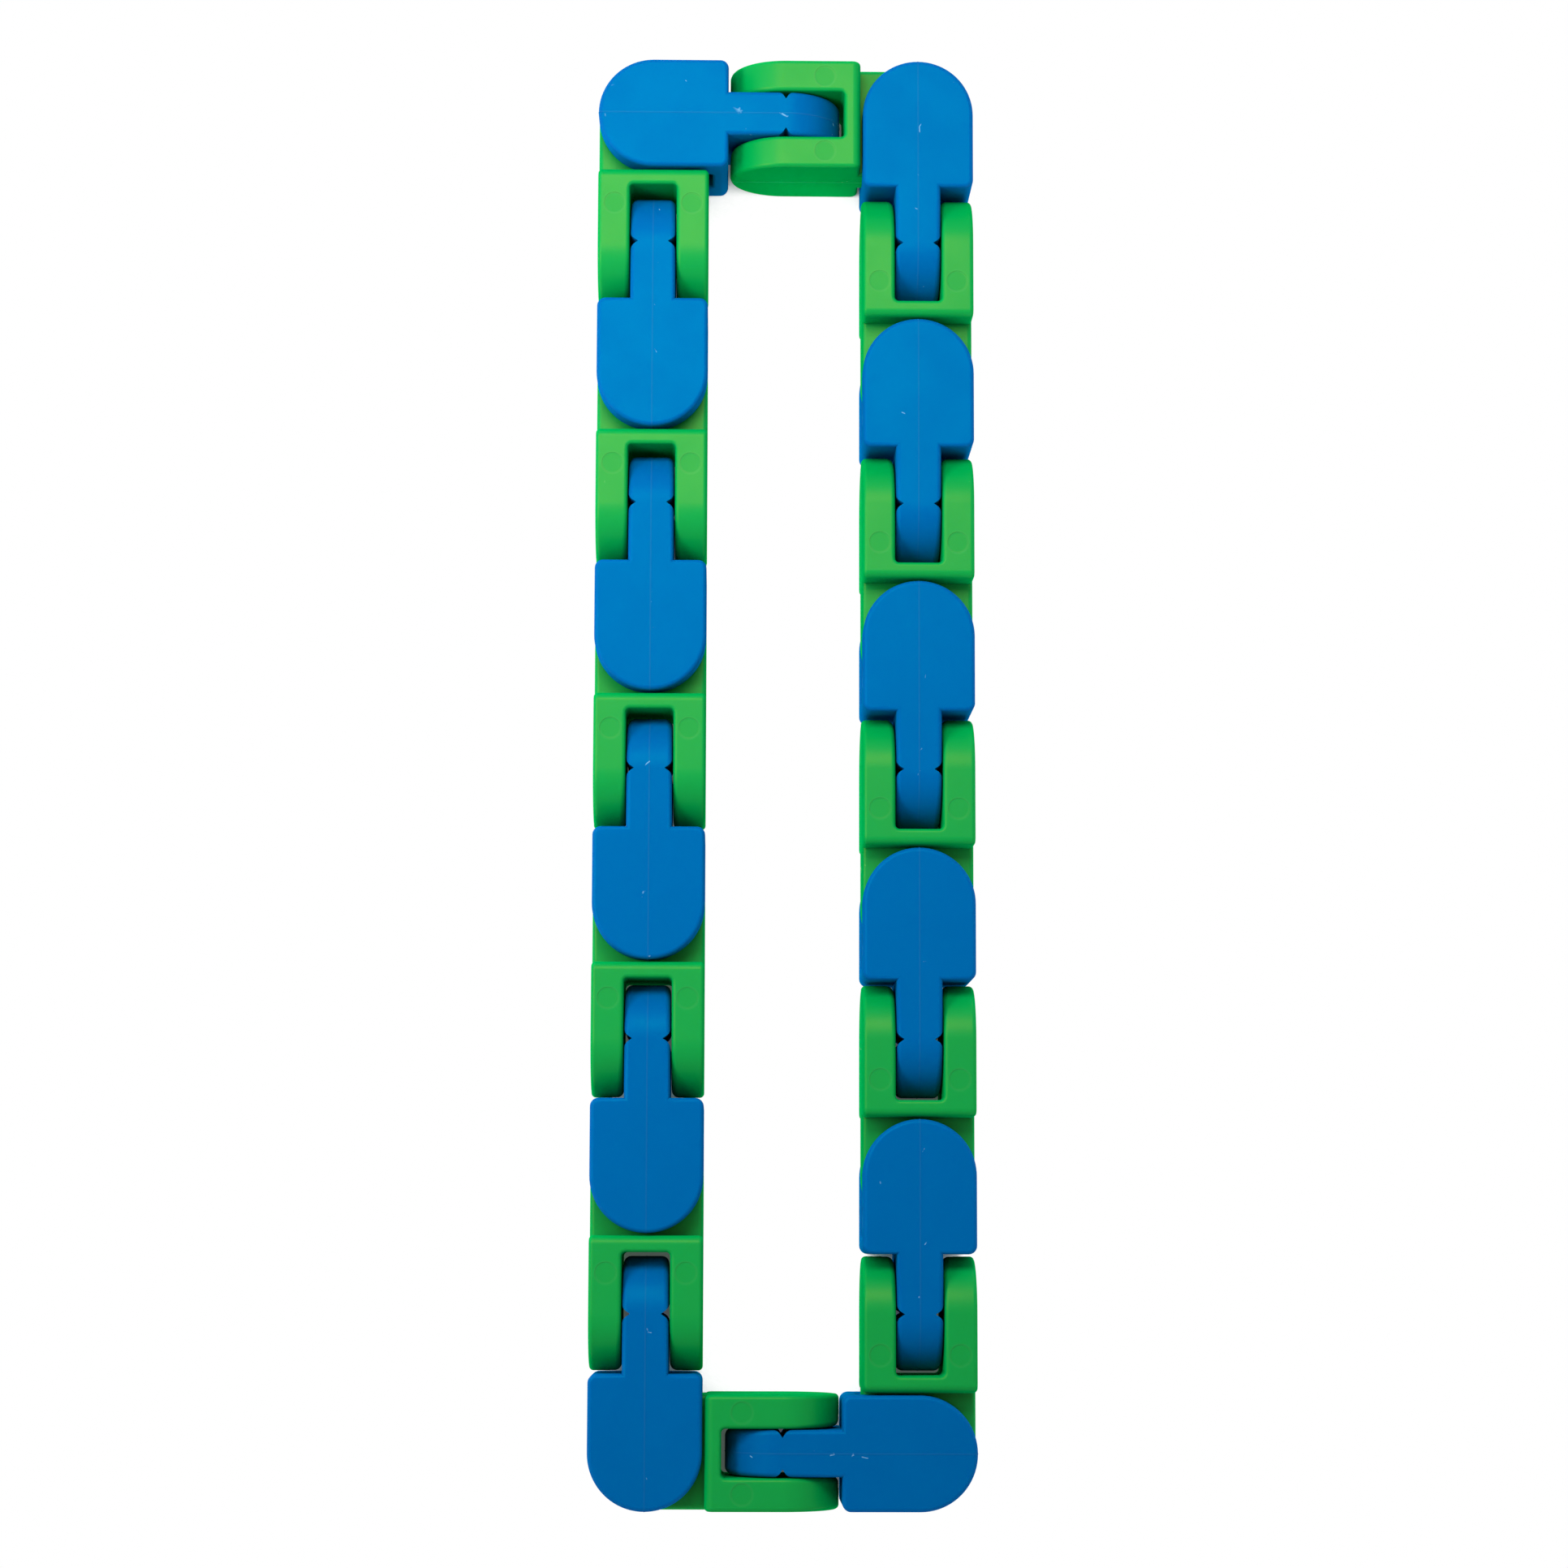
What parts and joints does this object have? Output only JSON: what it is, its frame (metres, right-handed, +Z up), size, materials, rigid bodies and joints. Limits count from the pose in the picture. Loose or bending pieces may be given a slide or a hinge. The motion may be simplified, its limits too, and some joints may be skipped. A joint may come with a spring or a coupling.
{
  "type": "twist and click chain puzzle",
  "caption": "Closed loop of identical two-colour plastic links with snap pivots square to each other, lying flat as a long rectangle; it folds, widens and twists.",
  "frame": {"origin": "middle of the loop, on the surface that it lies on", "axes": "+Y along the loop's long sides, towards the short side that holds still; +X along the short sides; +Z up, through the 12 mm thickness"},
  "size_m": [0.0408, 0.156, 0.012],
  "materials": {
    "blue_plastic": "smooth satin injection-moulded plastic, coloured through, with a fine mould texture",
    "green_plastic": "smooth satin injection-moulded plastic, coloured through, with a fine mould texture"
  },
  "bodies": {
    "link_01_blue": {"link_01_blue": "blue_plastic"},
    "link_02_green": {"link_02_green": "green_plastic"},
    "link_03_blue": {"link_03_blue": "blue_plastic"},
    "link_04_green": {"link_04_green": "green_plastic"},
    "link_05_blue": {"link_05_blue": "blue_plastic"},
    "link_06_green": {"link_06_green": "green_plastic"},
    "link_07_blue": {"link_07_blue": "blue_plastic"},
    "link_08_green": {"link_08_green": "green_plastic"},
    "link_09_blue": {"link_09_blue": "blue_plastic"},
    "link_10_green": {"link_10_green": "green_plastic"},
    "link_11_blue": {"link_11_blue": "blue_plastic"},
    "link_12_green": {"link_12_green": "green_plastic"},
    "link_13_blue": {"link_13_blue": "blue_plastic"},
    "link_14_green": {"link_14_green": "green_plastic"},
    "link_15_blue": {"link_15_blue": "blue_plastic"},
    "link_16_green": {"link_16_green": "green_plastic"},
    "link_17_blue": {"link_17_blue": "blue_plastic"},
    "link_18_green": {"link_18_green": "green_plastic"},
    "link_19_blue": {"link_19_blue": "blue_plastic"},
    "link_20_green": {"link_20_green": "green_plastic"},
    "link_21_blue": {"link_21_blue": "blue_plastic"},
    "link_22_green": {"link_22_green": "green_plastic"},
    "link_23_blue": {"link_23_blue": "blue_plastic"},
    "link_24_green": {"link_24_green": "green_plastic"}
  },
  "joints": [
    {"name": "corner_top_right", "type": "hinge", "parent": "link_12_green", "child": "link_13_blue", "pos_m": [0.0144, 0.072, 0.006], "axis": [0, 0, 1], "range_deg": [0, 90]},
    {"name": "fold_1_right", "type": "hinge", "parent": "link_13_blue", "child": "link_14_green", "pos_m": [0.0144, 0.0576, 0.006], "axis": [1, 0, 0], "range_deg": [-90, 90]},
    {"name": "bend_1_right", "type": "hinge", "parent": "link_14_green", "child": "link_15_blue", "pos_m": [0.0144, 0.0432, 0.006], "axis": [0, 0, 1], "range_deg": [-90, 0]},
    {"name": "fold_2_right", "type": "hinge", "parent": "link_15_blue", "child": "link_16_green", "pos_m": [0.0144, 0.0288, 0.006], "axis": [-1, 0, 0], "range_deg": [-90, 90]},
    {"name": "bend_2_right", "type": "hinge", "parent": "link_16_green", "child": "link_17_blue", "pos_m": [0.0144, 0.0144, 0.006], "axis": [0, 0, 1], "range_deg": [-60, 60]},
    {"name": "fold_3_right", "type": "hinge", "parent": "link_17_blue", "child": "link_18_green", "pos_m": [0.0144, 0, 0.006], "axis": [1, 0, 0], "range_deg": [-90, 90]},
    {"name": "bend_3_right", "type": "hinge", "parent": "link_18_green", "child": "link_19_blue", "pos_m": [0.0144, -0.0144, 0.006], "axis": [0, 0, 1], "range_deg": [-60, 60]},
    {"name": "fold_4_right", "type": "hinge", "parent": "link_19_blue", "child": "link_20_green", "pos_m": [0.0144, -0.0288, 0.006], "axis": [-1, 0, 0], "range_deg": [-90, 90]},
    {"name": "bend_4_right", "type": "hinge", "parent": "link_20_green", "child": "link_21_blue", "pos_m": [0.0144, -0.0432, 0.006], "axis": [0, 0, 1], "range_deg": [-90, 0]},
    {"name": "fold_5_right", "type": "hinge", "parent": "link_21_blue", "child": "link_22_green", "pos_m": [0.0144, -0.0576, 0.006], "axis": [1, 0, 0], "range_deg": [-90, 90]},
    {"name": "corner_bottom_right", "type": "hinge", "parent": "link_22_green", "child": "link_23_blue", "pos_m": [0.0144, -0.072, 0.006], "axis": [0, 0, 1], "range_deg": [0, 90]},
    {"name": "fold_lengthwise_bottom", "type": "hinge", "parent": "link_23_blue", "child": "link_24_green", "pos_m": [0, -0.072, 0.006], "axis": [0, 1, 0], "range_deg": [-90, 90]},
    {"name": "fold_lengthwise_top", "type": "hinge", "parent": "link_12_green", "child": "link_11_blue", "pos_m": [0, 0.072, 0.006], "axis": [0, 1, 0], "range_deg": [-90, 90]},
    {"name": "corner_top_left", "type": "hinge", "parent": "link_11_blue", "child": "link_10_green", "pos_m": [-0.0144, 0.072, 0.006], "axis": [0, 0, 1], "range_deg": [-90, 0]},
    {"name": "fold_1_left", "type": "hinge", "parent": "link_10_green", "child": "link_09_blue", "pos_m": [-0.0144, 0.0576, 0.006], "axis": [1, 0, 0], "range_deg": [-90, 90]},
    {"name": "bend_1_left", "type": "hinge", "parent": "link_09_blue", "child": "link_08_green", "pos_m": [-0.0144, 0.0432, 0.006], "axis": [0, 0, 1], "range_deg": [0, 90]},
    {"name": "fold_2_left", "type": "hinge", "parent": "link_08_green", "child": "link_07_blue", "pos_m": [-0.0144, 0.0288, 0.006], "axis": [-1, 0, 0], "range_deg": [-90, 90]},
    {"name": "bend_2_left", "type": "hinge", "parent": "link_07_blue", "child": "link_06_green", "pos_m": [-0.0144, 0.0144, 0.006], "axis": [0, 0, 1], "range_deg": [-60, 60]},
    {"name": "fold_3_left", "type": "hinge", "parent": "link_06_green", "child": "link_05_blue", "pos_m": [-0.0144, 0, 0.006], "axis": [1, 0, 0], "range_deg": [-90, 90]},
    {"name": "bend_3_left", "type": "hinge", "parent": "link_05_blue", "child": "link_04_green", "pos_m": [-0.0144, -0.0144, 0.006], "axis": [0, 0, 1], "range_deg": [-60, 60]},
    {"name": "fold_4_left", "type": "hinge", "parent": "link_04_green", "child": "link_03_blue", "pos_m": [-0.0144, -0.0288, 0.006], "axis": [-1, 0, 0], "range_deg": [-90, 90]},
    {"name": "bend_4_left", "type": "hinge", "parent": "link_03_blue", "child": "link_02_green", "pos_m": [-0.0144, -0.0432, 0.006], "axis": [0, 0, 1], "range_deg": [0, 90]},
    {"name": "fold_5_left", "type": "hinge", "parent": "link_02_green", "child": "link_01_blue", "pos_m": [-0.0144, -0.0576, 0.006], "axis": [1, 0, 0], "range_deg": [-90, 90]}
  ],
  "couplings": [
    {"joint": "fold_1_right", "follows": "fold_1_left", "ratio": 1},
    {"joint": "fold_2_right", "follows": "fold_2_left", "ratio": 1},
    {"joint": "fold_3_right", "follows": "fold_3_left", "ratio": 1},
    {"joint": "fold_4_right", "follows": "fold_4_left", "ratio": 1},
    {"joint": "fold_5_right", "follows": "fold_5_left", "ratio": 1},
    {"joint": "fold_lengthwise_bottom", "follows": "fold_lengthwise_top", "ratio": 1},
    {"joint": "corner_top_left", "follows": "corner_top_right", "ratio": -1},
    {"joint": "corner_bottom_right", "follows": "corner_top_right", "ratio": 1},
    {"joint": "bend_1_left", "follows": "corner_top_right", "ratio": 1},
    {"joint": "bend_4_left", "follows": "corner_top_right", "ratio": 1},
    {"joint": "bend_1_right", "follows": "corner_top_right", "ratio": -1},
    {"joint": "bend_4_right", "follows": "corner_top_right", "ratio": -1},
    {"joint": "bend_3_left", "follows": "bend_2_left", "ratio": -1},
    {"joint": "bend_3_right", "follows": "bend_2_left", "ratio": -1},
    {"joint": "bend_2_right", "follows": "bend_2_left", "ratio": 1}
  ]
}
